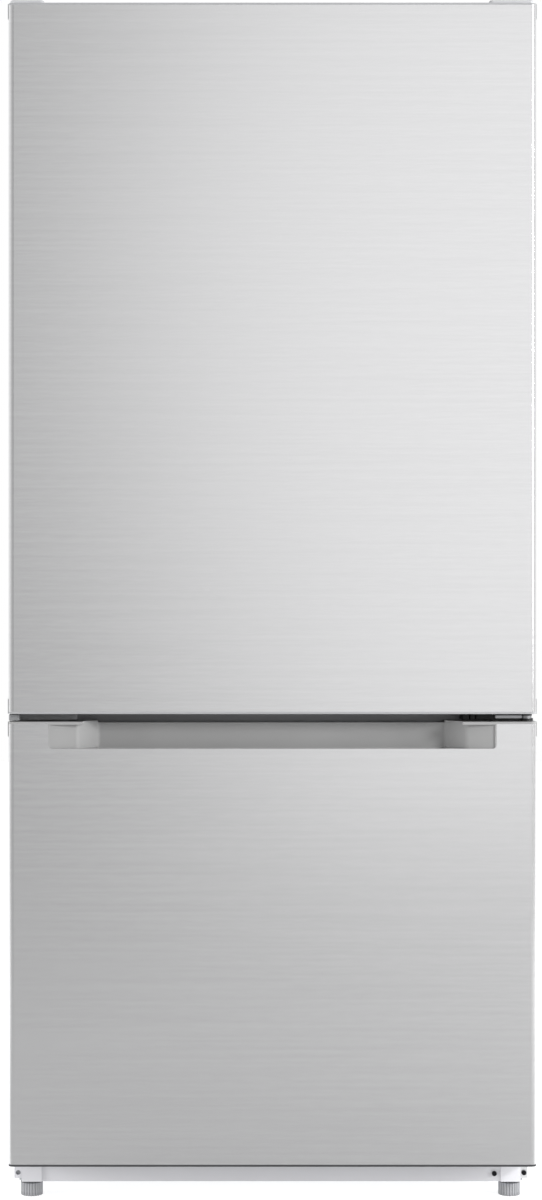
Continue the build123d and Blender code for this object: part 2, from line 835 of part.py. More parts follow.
with BuildPart() as handle_moulding:
    door_slab(0, freezer_door_top_z - cap_plate, freezer_door_top_z)
    door_slab(sheet, moulding_z, freezer_door_top_z - cap_plate)
    cheeks(freezer_door_top_z - cap_height, freezer_door_top_z)
    window(front_y, front_y + sheet)
    mouth(window_z, freezer_door_top_z - pocket_ceiling, mouth_half)
    mouth(freezer_door_top_z - pocket_ceiling, freezer_door_top_z + over, pocket_top_half)
    block(-back_half, back_half, front_y + pocket_back - over, door_back_y + over,
          freezer_door_top_z - pocket_back_drop, freezer_door_top_z + over, mode=Mode.SUBTRACT)
    # The groove behind the lip, which the fingers hook into.
    with BuildSketch(Plane.YZ.offset(-groove_half)) as groove:
        with BuildLine():
            Polyline(
                (front_y + lip_thickness, window_z + over),
                (front_y + lip_thickness, pocket_floor_z),
                (front_y + pocket_back - pocket_slope, pocket_floor_z),
                (front_y + pocket_back, window_z + over),
                close=True,
            )
        make_face()
        fillet(groove.vertices().group_by(Axis.Y)[0], pocket_radius)
    extrude(groove.sketch, amount=2 * groove_half, mode=Mode.SUBTRACT)
    post(hinge_x, hinge_y, freezer_door_top_z - bore_depth, freezer_door_top_z + over, bore_radius,
         mode=Mode.SUBTRACT)
keep(handle_moulding, "handle_moulding")

with BuildPart() as freezer_door_bottom_cap:
    door_slab(0, freezer_door_z, freezer_door_z + cap_plate)
    door_slab(sheet, freezer_door_z + cap_plate, freezer_door_z + cap_height)
    post(hinge_x, hinge_y, freezer_door_z - over, freezer_door_z + bore_depth, bore_radius,
         mode=Mode.SUBTRACT)
keep(freezer_door_bottom_cap, "freezer_door_bottom_cap")

keep(inner_panel(freezer_door_z + cap_height, moulding_z, freezer_dyke_half, freezer_dyke_z,
                 freezer_dyke_top_z, freezer_bin_half, freezer_bin_z, freezer_bin_pitch,
                 freezer_bin_count), "freezer_door_inner_panel")
keep(gasket(half_width - gasket_inset, freezer_door_z + gasket_inset, divider_z - center_rail_half),
     "freezer_door_gasket")
keep(bins(freezer_bin_half, freezer_bin_depth, freezer_bin_z, freezer_bin_pitch, freezer_bin_count),
     "freezer_door_bins")

# --- Hinges -------------------------------------------------------------------------------------------

middle_arm_z = divider_z - hinge_plate / 2
top_arm_z = fridge_door_top_z + top_arm_lift
bottom_arm_z = freezer_door_z - bottom_arm_drop - hinge_plate
top_tail_y = case_front_y + hinge_tail


def arm_plan(x0, y1, z0, z1, nose=hinge_nose):
    """A flat hinge arm with a round nose about the pin."""
    with BuildSketch(Plane.XY.offset(z0)) as plan:
        with Locations((hinge_x, hinge_y)):
            Circle(nose)
        with Locations(((x0 + hinge_x + nose) / 2, (hinge_y + y1) / 2)):
            Rectangle(hinge_x + nose - x0, y1 - hinge_y)
        fillet(plan.vertices().group_by(Axis.X)[0], nose / 3)
    extrude(plan.sketch, amount=z1 - z0)


with BuildPart() as top_hinge:
    arm_plan(top_arm_x, top_tail_y, top_arm_z, top_arm_z + hinge_plate)
    block(top_arm_x, hinge_x + hinge_nose - hinge_foot_inset, case_front_y + hinge_foot_setback, top_tail_y,
          case_top_z, top_arm_z)
    post(hinge_x, hinge_y, fridge_door_top_z - pin_length, top_arm_z, pin_radius)
keep(top_hinge, "top_hinge")


def corner_cover(reach, hollow):
    """The low plastic cover at a top corner, over the hinge or blank."""
    x0 = hinge_x - reach - corner_cover_clearance - corner_cover_wall
    x1 = hinge_x + hinge_nose + corner_cover_clearance + corner_cover_wall
    y0 = hinge_y - hinge_nose - corner_cover_clearance - corner_cover_wall
    y1 = top_tail_y + corner_cover_clearance + corner_cover_wall
    top_z = top_arm_z + hinge_plate + corner_cover_rise
    with BuildPart() as cover:
        rounded_block(x0, x1, y0, y1, case_top_z, top_z, corner_cover_corner)
        fillet(cover.faces().sort_by(Axis.Z)[-1].edges(), corner_cover_edge)
        block(x0 - over, x1 + over, y0 - over, case_front_y, case_top_z - over, top_arm_z - over,
              mode=Mode.SUBTRACT)
        if hollow:
            block(x0 + corner_cover_wall, x1 - corner_cover_wall, y0 + corner_cover_wall,
                  y1 - corner_cover_wall, case_top_z - over, top_z - corner_cover_wall, mode=Mode.SUBTRACT)
    return cover


keep(corner_cover(top_arm_reach, True), "top_hinge_cover")
with BuildPart() as top_left_cap:
    mirror(corner_cover(blank_cover_reach, False).part, about=Plane.YZ)
keep(top_left_cap, "top_left_cap")

with BuildPart() as middle_hinge:
    arm_plan(middle_arm_x, case_front_y, middle_arm_z, middle_arm_z + hinge_plate)
    block(middle_arm_x, hinge_x + hinge_face_past_pin, case_front_y - hinge_face, case_front_y,
          divider_z - hinge_foot_half, divider_z + hinge_foot_half)
    post(hinge_x, hinge_y, freezer_door_top_z - pin_length, fridge_door_z + pin_length, pin_radius)
keep(middle_hinge, "middle_hinge")

with BuildPart() as middle_hinge_cover:
    arm_cover_x = middle_arm_x - arm_cover_length
    rounded_block(arm_cover_x, middle_arm_x, hinge_y, case_front_y, divider_z - plug_half_height,
                  divider_z + plug_half_height, plug_corner)
    for index in range(2):
        slot_x = arm_cover_x + arm_cover_slot + index * arm_cover_slot_pitch
        block(slot_x, slot_x + arm_cover_slot_width, hinge_y - over,
              (hinge_y + case_front_y) / 2, divider_z - hinge_plate, divider_z + plug_half_height + over,
              mode=Mode.SUBTRACT)
    # The plate under the arm, and the spacer on it, both with a bore for the pin.
    arm_plan(middle_arm_x - arm_cover_overlap, case_front_y - hinge_face,
             freezer_door_top_z + arm_cover_clearance, middle_arm_z, arm_cover_nose)
    post(hinge_x, hinge_y, middle_arm_z + hinge_plate, fridge_door_z - hinge_clearance, hinge_collar)
    post(hinge_x, hinge_y, freezer_door_top_z, fridge_door_z, bore_radius, mode=Mode.SUBTRACT)
keep(middle_hinge_cover, "middle_hinge_cover")

with BuildPart() as gap_plug:
    rounded_block(-half_width, plug_length - half_width, hinge_y, case_front_y,
                  divider_z - plug_half_height, divider_z + plug_half_height, plug_corner)
    rounded_block(-door_half, plug_end_length - door_half, front_y + plug_end_setback,
                  hinge_y + 2 * plug_corner, divider_z - plug_half_height, divider_z + plug_half_height,
                  plug_corner)
keep(gap_plug, "gap_plug")

# The plate beside the toe rail carries the arm under the door.
with BuildPart() as bottom_hinge:
    arm_plan(hinge_x - bottom_arm_reach, case_front_y, bottom_arm_z, bottom_arm_z + hinge_plate)
    block(toe_rail_half + hinge_clearance, half_width, case_front_y - hinge_face, case_front_y,
          panel_bottom_z, bottom_arm_z + hinge_plate)
    post(hinge_x, hinge_y, bottom_arm_z, freezer_door_z + pin_length, pin_radius)
keep(bottom_hinge, "bottom_hinge")

with BuildPart() as hinge_screws:
    for index in range(top_screw_count):
        post(hinge_x - top_screw_inset, case_front_y + top_screw_setback + index * top_screw_pitch,
             top_arm_z + hinge_plate, top_arm_z + hinge_plate + screw_head, screw_radius)
    plate_y = case_front_y - hinge_face
    for index in range(2):
        rod_y(middle_arm_x + middle_screw_margin + index * middle_screw_pitch, divider_z + middle_screw_rise,
              plate_y - screw_head, plate_y, front_screw_radius)
    base_screw_z = panel_bottom_z + base_screw_height
    rod_y(hinge_x - base_screw_reach, base_screw_z, toe_rail_y - screw_head, toe_rail_y, front_screw_radius)
    rod_y(toe_rail_half + base_screw_margin, base_screw_z, plate_y - screw_head, plate_y, front_screw_radius)
keep(hinge_screws, "hinge_screws")

# --- Food compartment fittings ------------------------------------------------------------------------

shelf_front_y = door_back_y + bin_depth + shelf_front_clearance
shelf_back_y = cavity_back_y - duct_depth - shelf_side_clearance
shelf_half = fridge_half - shelf_side_clearance
crisper_front_y = door_back_y + bin_depth + crisper_front_clearance
crisper_z = fridge_floor_z + crisper_floor_clearance
crisper_frame_z = crisper_z + crisper_height + crisper_top_gap


def shelf_frame(front_y_of_shelf, z0, height):
    """A rectangular frame with a rebate that holds a glass pane, and a rounded front edge."""
    block(-shelf_half, shelf_half, front_y_of_shelf, shelf_back_y, z0, z0 + height)
    block(shelf_rim - shelf_half, shelf_half - shelf_rim, front_y_of_shelf + shelf_rim,
          shelf_back_y - shelf_rim, z0 - over, z0 + height + over, mode=Mode.SUBTRACT)
    block(shelf_rebate - shelf_half, shelf_half - shelf_rebate, front_y_of_shelf + shelf_rebate,
          shelf_back_y - shelf_rebate, z0 + height - shelf_glass, z0 + height + over, mode=Mode.SUBTRACT)


with BuildPart() as shelf_frames:
    for height in shelf_heights:
        shelf_frame(shelf_front_y, fridge_floor_z + height, shelf_thickness)
keep(shelf_frames, "shelf_frames")

with BuildPart() as shelf_glass_panes:
    for pane_front_y, pane_top_z in (
        (shelf_front_y, fridge_floor_z + shelf_heights[0] + shelf_thickness),
        (shelf_front_y, fridge_floor_z + shelf_heights[1] + shelf_thickness),
        (crisper_front_y, crisper_frame_z + crisper_frame_height),
    ):
        block(shelf_rebate - shelf_half, shelf_half - shelf_rebate, pane_front_y + shelf_rebate,
              shelf_back_y - shelf_rebate, pane_top_z - shelf_glass, pane_top_z)
keep(shelf_glass_panes, "shelf_glass")

with BuildPart() as shelf_rails:
    for rail_top in (crisper_frame_z, *[fridge_floor_z + height for height in shelf_heights]):
        for side in (-1, 1):
            near = side * fridge_half
            far = side * (fridge_half - rail_width)
            block(min(near, far), max(near, far), shelf_front_y + rail_setback,
                  cavity_back_y - rail_setback, rail_top - rail_height, rail_top)
keep(shelf_rails, "shelf_rails")

slider_z = crisper_frame_z + crisper_frame_height / 2
slider_x = (fridge_half - crisper_side_gap) / 2
groove_depth = slider_depth / 2
with BuildPart() as crisper_frame:
    shelf_frame(crisper_front_y, crisper_frame_z, crisper_frame_height)
    for side in (-1, 1):
        reach = (slider_length + slider_travel) / 2 + slider_clearance
        block(side * slider_x - reach, side * slider_x + reach, crisper_front_y - over,
              crisper_front_y + groove_depth, slider_z - slider_height / 2 - slider_clearance,
              slider_z + slider_height / 2 + slider_clearance, mode=Mode.SUBTRACT)
keep(crisper_frame, "crisper_frame")


def slider(side):
    """A humidity slider in its groove, with a ridge for the finger."""
    x = side * slider_x
    with BuildPart() as control:
        rounded_block(x - slider_length / 2, x + slider_length / 2, crisper_front_y - groove_depth,
                      crisper_front_y + groove_depth - slider_clearance, slider_z - slider_height / 2,
                      slider_z + slider_height / 2, slider_corner)
        for step in (-1, 0, 1):
            ridge_x = x + step * slider_ridge_pitch
            block(ridge_x - slider_ridge_half, ridge_x + slider_ridge_half,
                  crisper_front_y - groove_depth - slider_ridge_rise, crisper_front_y - groove_depth,
                  slider_z - slider_height / 2, slider_z + slider_height / 2)
    return control


def tub(x0, x1, y0, y1, z0, z1, wall, corner, draft):
    """An open tray that narrows towards its floor by the draft, at the sides and the back."""
    for inset, lift, mode in ((0.0, 0.0, Mode.ADD), (wall, over, Mode.SUBTRACT)):
        floor_z = z0 + inset
        with BuildSketch(Plane.XY.offset(floor_z)) as floor_plan:
            with Locations(((x0 + x1) / 2, (y0 + y1 - draft) / 2)):
                RectangleRounded(x1 - x0 - 2 * (inset + draft), y1 - y0 - 2 * inset - draft, corner - inset)
        with BuildSketch(Plane.XY.offset(z1 + lift)) as rim_plan:
            with Locations(((x0 + x1) / 2, (y0 + y1) / 2)):
                RectangleRounded(x1 - x0 - 2 * inset, y1 - y0 - 2 * inset, corner - inset)
        loft(sections=[floor_plan.sketch, rim_plan.sketch], mode=mode)


def drawer_front(x0, x1, y0, z0, z1, plate, grip):
    """The front plate of a drawer, with an overhanging grip along its top edge."""
    with BuildSketch(Plane.YZ.offset(x0)) as profile:
        with BuildLine():
            Polyline(
                (y0, z0),
                (y0, z1 - 2 * plate - grip / 2),
                (y0 - grip / 2, z1 - plate - grip / 2),
                (y0 - grip / 2, z1),
                (y0 + plate, z1),
                (y0 + plate, z0),
                close=True,
            )
        make_face()
    extrude(profile.sketch, amount=x1 - x0)


def crisper(side):
    """A crisper drawer, a clear tub with a thick front."""
    inner_x = side * crisper_gap / 2
    outer_x = side * (fridge_half - crisper_side_gap)
    x0, x1 = min(inner_x, outer_x), max(inner_x, outer_x)
    front = crisper_front_y + crisper_grip / 2
    with BuildPart() as drawer:
        tub(x0, x1, front + drawer_front_plate / 2, front + crisper_depth, crisper_z,
            crisper_z + crisper_height, crisper_wall, crisper_corner, crisper_draft)
        drawer_front(x0, x1, front, crisper_z, crisper_z + crisper_height, drawer_front_plate, crisper_grip)
    return drawer


for side, word in ((-1, "left"), (1, "right")):
    keep(slider(side), f"{word}_humidity_slider")
    keep(crisper(side), f"{word}_crisper_drawer")

with BuildPart() as air_duct:
    block(-duct_half, duct_half, cavity_back_y - duct_depth, cavity_back_y, fridge_floor_z + duct_bottom,
          fridge_ceiling_z - duct_top_gap)
    chamfer(air_duct.faces().sort_by(Axis.Y)[0].edges().filter_by(Axis.Z), duct_depth / 2)
    duct_middle_z = (fridge_floor_z + duct_bottom + fridge_ceiling_z - duct_top_gap) / 2
    vent_pitch = (fridge_ceiling_z - duct_top_gap - fridge_floor_z - duct_bottom) / (vent_count + 1)
    with BuildSketch(Plane.XZ.offset(duct_depth - cavity_back_y)) as vents:
        with Locations((0, duct_middle_z)):
            with GridLocations(1, vent_pitch, 1, vent_count):
                SlotOverall(2 * vent_half, vent_height)
    extrude(vents.sketch, amount=-duct_depth / 2, mode=Mode.SUBTRACT)
keep(air_duct, "air_duct")

housing_front_y = shelf_front_y + knob_depth
housing_back_y = housing_front_y + housing_depth
knob_z = fridge_ceiling_z - housing_height / 2
with BuildPart() as control_housing:
    with BuildSketch(Plane.YZ.offset(-housing_half)):
        with BuildLine():
            Polyline(
                (housing_front_y, fridge_ceiling_z),
                (housing_front_y, fridge_ceiling_z - housing_height),
                (housing_back_y - housing_height, fridge_ceiling_z - housing_height),
                (housing_back_y, fridge_ceiling_z - lens_height),
                (housing_back_y, fridge_ceiling_z),
                close=True,
            )
        make_face()
    extrude(amount=2 * housing_half)
    fillet(control_housing.edges().filter_by(Axis.Z).group_by(Axis.Y)[0], housing_corner)
    rod_y(0, knob_z, housing_front_y - over, housing_front_y + shaft_length + over,
          shaft_radius + shaft_clearance, mode=Mode.SUBTRACT)
keep(control_housing, "control_housing")

with BuildPart() as temperature_knob:
    knob_back_y = housing_front_y - knob_clearance
    disc_y = knob_back_y - knob_depth + knob_grip_depth
    rod_y(0, knob_z, disc_y, knob_back_y, knob_radius - knob_disc_inset)
    block(-knob_grip / 2, knob_grip / 2, knob_back_y - knob_depth, disc_y,
          knob_z - knob_radius + knob_grip_inset, knob_z + knob_radius - knob_grip_inset)
    rod_y(0, knob_z, knob_back_y, housing_front_y + shaft_length, shaft_radius)
keep(temperature_knob, "temperature_knob")

with BuildPart() as light_lens:
    with BuildSketch(Plane.YZ.offset(-housing_half)):
        with BuildLine():
            lens_back_y = housing_back_y + lens_depth
            Line((housing_back_y, fridge_ceiling_z), (housing_back_y, fridge_ceiling_z - lens_height))
            ThreePointArc(
                (housing_back_y, fridge_ceiling_z - lens_height),
                (housing_back_y + lens_depth * lens_bulge_place,
                 fridge_ceiling_z - lens_height * lens_bulge),
                (lens_back_y, fridge_ceiling_z),
            )
            Line((lens_back_y, fridge_ceiling_z), (housing_back_y, fridge_ceiling_z))
        make_face()
    extrude(amount=2 * housing_half)
keep(light_lens, "light_lens")

# --- Freezer fittings ---------------------------------------------------------------------------------

drawer_front_y = door_back_y + freezer_bin_depth + drawer_front_clearance
evaporator_front_y = cavity_back_y - evaporator_space
drawer_half = freezer_half - drawer_side_gap
low_drawer_z = freezer_floor_z + runner_clearance
low_drawer_top_z = step_z - drawer_gap
high_space = freezer_ceiling_z - step_z
high_drawer_height = (high_space - 3 * drawer_gap) / 2
drawers = (
    ("freezer_drawer_bottom", low_drawer_z, low_drawer_top_z, step_y - drawer_back_clearance),
    ("freezer_drawer_middle", step_z + drawer_gap, step_z + drawer_gap + high_drawer_height,
     evaporator_front_y - drawer_back_clearance),
    ("freezer_drawer_top", step_z + 2 * drawer_gap + high_drawer_height,
     step_z + 2 * drawer_gap + 2 * high_drawer_height, evaporator_front_y - drawer_back_clearance),
)


def freezer_drawer(z0, z1, back_y):
    """A freezer drawer: a tub with a front, rims that slide on the runners and a grip."""
    front = drawer_front_y + drawer_grip / 2
    with BuildPart() as drawer:
        tub(-drawer_half, drawer_half, front + drawer_front_plate / 2, back_y, z0, z1, drawer_wall,
            drawer_corner, crisper_draft)
        for side in (-1, 1):
            near = side * (drawer_half - drawer_wall)
            far = side * (drawer_half + drawer_rim)
            block(min(near, far), max(near, far), front + drawer_front_plate, back_y, z1 - drawer_wall, z1)
        tub_hollow_front(z0, z1, front, back_y)
        drawer_front(-drawer_half, drawer_half, front, z0, z1, drawer_front_plate, drawer_grip)
    return drawer


def tub_hollow_front(z0, z1, front, back_y):
    """Clears the inside of a tub again where its rims pass the rounded corners."""
    block(drawer_corner - drawer_half, drawer_half - drawer_corner, front + drawer_front_plate + drawer_wall,
          back_y - drawer_wall, z1 - 2 * drawer_wall, z1 + over, mode=Mode.SUBTRACT)


for name, z0, z1, back_y in drawers:
    keep(freezer_drawer(z0, z1, back_y), name)

with BuildPart() as drawer_runners:
    for name, z0, z1, back_y in drawers:
        for side in (-1, 1):
            near = side * freezer_half
            far = side * (freezer_half - runner_reach)
            rail_z = z1 - drawer_wall - runner_clearance
            block(min(near, far), max(near, far), drawer_front_y + drawer_grip, back_y,
                  rail_z - runner_height, rail_z)
keep(drawer_runners, "drawer_runners")


def fan(plane):
    """An axial fan about its plane's normal, on a hub bored for the motor's shaft."""
    with BuildPart(plane) as wheel:
        Cylinder(fan_hub_radius, fan_hub_length)
        for index in range(fan_blade_count):
            turn = index * 360 / fan_blade_count
            sections = []
            for radius, chord, pitch in (
                (fan_hub_radius - fan_root_sink, fan_root_chord, fan_root_pitch),
                (fan_radius, fan_tip_chord, fan_tip_pitch),
            ):
                across = Plane(origin=(radius, 0, 0), x_dir=(0, 1, 0), z_dir=(1, 0, 0))
                spoke = Plane(plane.location * Location((0, 0, 0), (0, 0, turn)) * across.location)
                with BuildSketch(spoke, mode=Mode.PRIVATE) as section:
                    Rectangle(chord, fan_blade_thickness, rotation=pitch)
                sections.append(section.sketch)
            loft(sections=sections)
        Cylinder(shaft_radius + shaft_clearance, 2 * fan_hub_length, mode=Mode.SUBTRACT)
    return wheel


def fan_mount(plane, ring_depth, motor_from):
    """The ring round a fan, with the arms, motor and shaft that carry it."""
    ring_inner = fan_radius + fan_ring_gap
    with BuildPart(plane) as mount:
        with BuildSketch(plane.offset(-fan_hub_length / 2 - fan_ring_gap)) as ring_plan:
            Circle(ring_inner + bracket_wall)
            Circle(ring_inner, mode=Mode.SUBTRACT)
        extrude(ring_plan.sketch, amount=ring_depth)
        with BuildSketch(plane.offset(motor_from)) as motor_plan:
            Circle(motor_radius)
        extrude(motor_plan.sketch, amount=motor_length)
        with BuildSketch(plane.offset(motor_from)) as arm_sketch:
            for turn in (0, 90):
                Rectangle(2 * ring_inner + bracket_wall, 2 * bracket_wall, rotation=turn)
        extrude(arm_sketch.sketch, amount=bracket_wall)
        with BuildSketch(plane.offset(-fan_hub_length / 2)) as shaft_plan:
            Circle(shaft_radius)
        extrude(shaft_plan.sketch, amount=motor_from + fan_hub_length / 2)
    return mount


motor_from = fan_hub_length / 2 + motor_gap
ring_depth = fan_hub_length / 2 + fan_ring_gap + motor_from + bracket_wall
evaporator_fan_z = freezer_ceiling_z - fan_from_top
cover_back_y = evaporator_front_y + evaporator_cover_wall
evaporator_fan_plane = Plane(origin=(0, cover_back_y + fan_ring_gap + fan_hub_length / 2, evaporator_fan_z),
                             x_dir=(1, 0, 0), z_dir=(0, 1, 0))
keep(fan(evaporator_fan_plane), "evaporator_fan")

with BuildPart() as evaporator_cover:
    block(-freezer_half, freezer_half, evaporator_front_y, cover_back_y, step_z, freezer_ceiling_z)
    with BuildSketch(Plane.XZ.offset(-evaporator_front_y)) as grille:
        with Locations((0, evaporator_fan_z)):
            with GridLocations(1, 2 * vent_height, 1, grille_slots):
                SlotOverall(2 * fan_radius - grille_margin, vent_height)
        with Locations((0, step_z + 3 * vent_height)):
            with GridLocations(return_slot_pitch, 1, return_slots, 1):
                SlotOverall(2 * vent_half, vent_height)
    extrude(grille.sketch, amount=-evaporator_cover_wall, mode=Mode.SUBTRACT)
    add(fan_mount(evaporator_fan_plane, ring_depth, motor_from).part)
keep(evaporator_cover, "evaporator_cover")


def serpentine(plane, half, pitch, rows, radius):
    """A tube that runs to and fro in its plane, with round bends at the ends."""
    with BuildLine(plane) as path:
        for row in range(rows):
            height = (row - (rows - 1) / 2) * pitch
            side = 1 if row % 2 else -1
            Line((side * half, height), (-side * half, height))
            if row < rows - 1:
                ThreePointArc((-side * half, height), (-side * (half + pitch / 2), height + pitch / 2),
                              (-side * half, height + pitch))
    start = Plane(origin=path.line @ 0, z_dir=path.line % 0)
    with BuildSketch(start) as section:
        Circle(radius)
    sweep(section.sketch, path=path.line)


coil_y = cavity_back_y - fin_depth / 2
coil_z = step_z + coil_rise + fin_height / 2
with BuildPart() as evaporator_coil:
    serpentine(Plane(origin=(0, coil_y, coil_z), x_dir=(1, 0, 0), z_dir=(0, -1, 0)), coil_half, coil_pitch,
               coil_rows, coil_tube)
    with Locations((0, coil_y, coil_z)):
        with GridLocations(2 * coil_half / (fin_count + 1), 1, fin_count, 1):
            Box(fin_thickness, fin_depth, fin_height)
keep(evaporator_coil, "evaporator_coil")

# --- Machine compartment fittings ---------------------------------------------------------------------

machine_y = (machine_front_y + case_back_y) / 2
plate_top_z = plate_z + 2 * sheet

can_z = plate_top_z + compressor_foot_height
can_top_z = plate_top_z + compressor_height
seam_z = (can_z + can_top_z) / 2
with BuildPart() as compressor:
    rounded_block(compressor_x - compressor_foot_half, compressor_x + compressor_foot_half,
                  machine_y - compressor_foot_depth, machine_y + compressor_foot_depth,
                  can_z - compressor_foot_plate, can_z, compressor_foot_inset)
    for x in (-1, 1):
        for y in (-1, 1):
            post(compressor_x + x * (compressor_foot_half - compressor_foot_inset),
                 machine_y + y * (compressor_foot_depth - compressor_foot_inset),
                 plate_top_z, can_z - compressor_foot_plate, compressor_grommet_radius)
    post(compressor_x, machine_y, can_z, can_top_z, compressor_radius)
    fillet(compressor.edges().group_by(Axis.Z)[-1], compressor_dome)
    post(compressor_x, machine_y, seam_z, seam_z + compressor_flange_height,
         compressor_radius + compressor_flange)
keep(compressor, "compressor")

condenser_z = plate_top_z + condenser_pitch * condenser_rows / 2
condenser_height = condenser_pitch * condenser_rows
with BuildPart() as condenser_coil:
    for layer in (-1, 1):
        layer_y = machine_y + layer * condenser_layer_pitch / 2
        serpentine(Plane(origin=(condenser_x, layer_y, condenser_z), x_dir=(1, 0, 0), z_dir=(0, -1, 0)),
                   condenser_half, condenser_pitch, condenser_rows, condenser_tube)
    for side in (-1, 0, 1):
        plate_x = condenser_x + side * (condenser_half - 2 * condenser_end)
        block(plate_x - condenser_end / 4, plate_x + condenser_end / 4,
              machine_y - pan_half_y + condenser_plate_inset, machine_y + pan_half_y - condenser_plate_inset,
              plate_top_z, plate_top_z + condenser_height)
keep(condenser_coil, "condenser_coil")

pan_z = plate_top_z + condenser_height
with BuildPart() as drain_pan:
    tub(condenser_x - pan_half_x, condenser_x + pan_half_x, machine_y - pan_half_y, machine_y + pan_half_y,
        pan_z, pan_z + pan_height, pan_wall, pan_corner, pan_draft)
keep(drain_pan, "drain_pan")

condenser_fan_z = plate_top_z + fan_radius + fan_ring_gap + bracket_wall
condenser_fan_plane = Plane(origin=(condenser_fan_x, machine_y, condenser_fan_z), x_dir=(0, 1, 0),
                            z_dir=(-1, 0, 0))
keep(fan(condenser_fan_plane), "condenser_fan")
with BuildPart() as condenser_fan_bracket:
    add(fan_mount(condenser_fan_plane, ring_depth, motor_from).part)
    bracket_x = condenser_fan_x + fan_hub_length / 2 + fan_ring_gap
    block(bracket_x - ring_depth, bracket_x, machine_y - fan_radius, machine_y + fan_radius, plate_top_z,
          plate_top_z + bracket_wall)
keep(condenser_fan_bracket, "condenser_fan_bracket")

gland_z = plate_top_z + gland_height + gland_radius
with BuildPart() as rear_cover:
    block(-liner_flange_x, liner_flange_x, case_back_y - sheet, case_back_y, plate_z, plate_z + cover_height)
    with BuildSketch(Plane.XZ.offset(-case_back_y)) as slots:
        for side in (-1, 1):
            with Locations((side * cover_slot_x, plate_z + cover_height / 2)):
                with GridLocations(cover_slot_pitch, 1, cover_slots, 1):
                    SlotOverall(cover_slot_height, cover_slot_width, rotation=90)
    extrude(slots.sketch, amount=sheet, mode=Mode.SUBTRACT)
    rod_y(gland_x, gland_z, case_back_y - gland_length, case_back_y, gland_radius)
    rod_y(gland_x, gland_z, case_back_y - gland_length - over, case_back_y + over, gland_bore,
          mode=Mode.SUBTRACT)
keep(rear_cover, "rear_cover")
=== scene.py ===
"""Looks of the bottom freezer refrigerator: finishes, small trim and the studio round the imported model.

Metres. The doors face -Y, +Z is up, and the floor is at zero.
"""

import json
import math

import bpy
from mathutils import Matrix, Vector


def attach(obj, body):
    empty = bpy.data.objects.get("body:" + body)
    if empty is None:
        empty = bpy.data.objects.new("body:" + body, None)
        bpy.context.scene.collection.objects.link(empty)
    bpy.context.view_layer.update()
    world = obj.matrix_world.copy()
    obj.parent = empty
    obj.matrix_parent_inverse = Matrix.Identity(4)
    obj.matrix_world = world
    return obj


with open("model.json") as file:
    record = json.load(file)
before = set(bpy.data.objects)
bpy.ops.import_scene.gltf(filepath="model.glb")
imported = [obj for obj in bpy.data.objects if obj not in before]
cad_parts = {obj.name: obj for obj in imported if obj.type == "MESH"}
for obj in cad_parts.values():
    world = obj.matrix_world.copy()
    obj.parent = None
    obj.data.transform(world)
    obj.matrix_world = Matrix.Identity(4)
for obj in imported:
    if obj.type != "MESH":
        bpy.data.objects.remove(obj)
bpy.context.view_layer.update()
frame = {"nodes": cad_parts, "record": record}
scene = bpy.context.scene
MM = 0.001

# --- Camera -------------------------------------------------------------------------------------------

DOOR_FRONT_Y = -0.3875
CAMERA_DISTANCE = 3.4  # from the front of the doors
CAMERA_X = -0.10
CAMERA_Z = 0.866
PIXELS_PER_METRE = 705.0  # in the plane of the doors
PHOTO_WIDTH = 542
PHOTO_HEIGHT = 1200
DOOR_MIDDLE_COLUMN = 272.5
SENSOR = 36.0

camera_data = bpy.data.cameras.new("camera")
camera = bpy.data.objects.new("camera", camera_data)
scene.collection.objects.link(camera)
camera.location = (CAMERA_X, DOOR_FRONT_Y - CAMERA_DISTANCE, CAMERA_Z)
camera.rotation_euler = (math.pi / 2, 0, 0)
camera_data.sensor_width = SENSOR
camera_data.lens = SENSOR * CAMERA_DISTANCE * PIXELS_PER_METRE / PHOTO_HEIGHT
camera_data.shift_x = (PHOTO_WIDTH / 2 - DOOR_MIDDLE_COLUMN - CAMERA_X * PIXELS_PER_METRE) / PHOTO_HEIGHT
scene.camera = camera

# --- Helpers ------------------------------------------------------------------------------------------


def linear(hex_colour):
    """Turns an sRGB hex value into the linear colour that a shader reads."""
    channels = [int(hex_colour[i:i + 2], 16) / 255 for i in (1, 3, 5)]
    return (*[c / 12.92 if c <= 0.04045 else ((c + 0.055) / 1.055) ** 2.4 for c in channels], 1.0)


def add(tree, kind, inputs=None, **settings):
    """Adds one node with its settings, and gives each named input a value or a link."""
    made = tree.nodes.new("ShaderNode" + kind)
    for name, value in settings.items():
        setattr(made, name, value)
    for name, value in (inputs or {}).items():
        if isinstance(value, bpy.types.NodeSocket):
            tree.links.new(value, made.inputs[name])
        else:
            made.inputs[name].default_value = value
    return made


def start_material(name):
    """An empty material, with its tree and the place on the piece in metres."""
    material = bpy.data.materials.new(name)
    material.use_nodes = True
    tree = material.node_tree
    tree.nodes.clear()
    place = add(tree, "TexCoord").outputs["Object"]
    return material, tree, place


def finish_material(tree, shader):
    """Joins the shader to the surface."""
    add(tree, "OutputMaterial", {"Surface": shader.outputs[0]})


def two_tone(tree, amount, dark, light):
    """A colour between two hex values, by an amount from 0 to 1."""
    return add(tree, "Mix", {0: amount, 6: linear(dark), 7: linear(light)}, data_type="RGBA").outputs[2]


def spread(tree, amount, low, high):
    """Turns an amount from 0 to 1 into one between low and high."""
    return add(tree, "MapRange", {"Value": amount, "To Min": low, "To Max": high}).outputs[0]


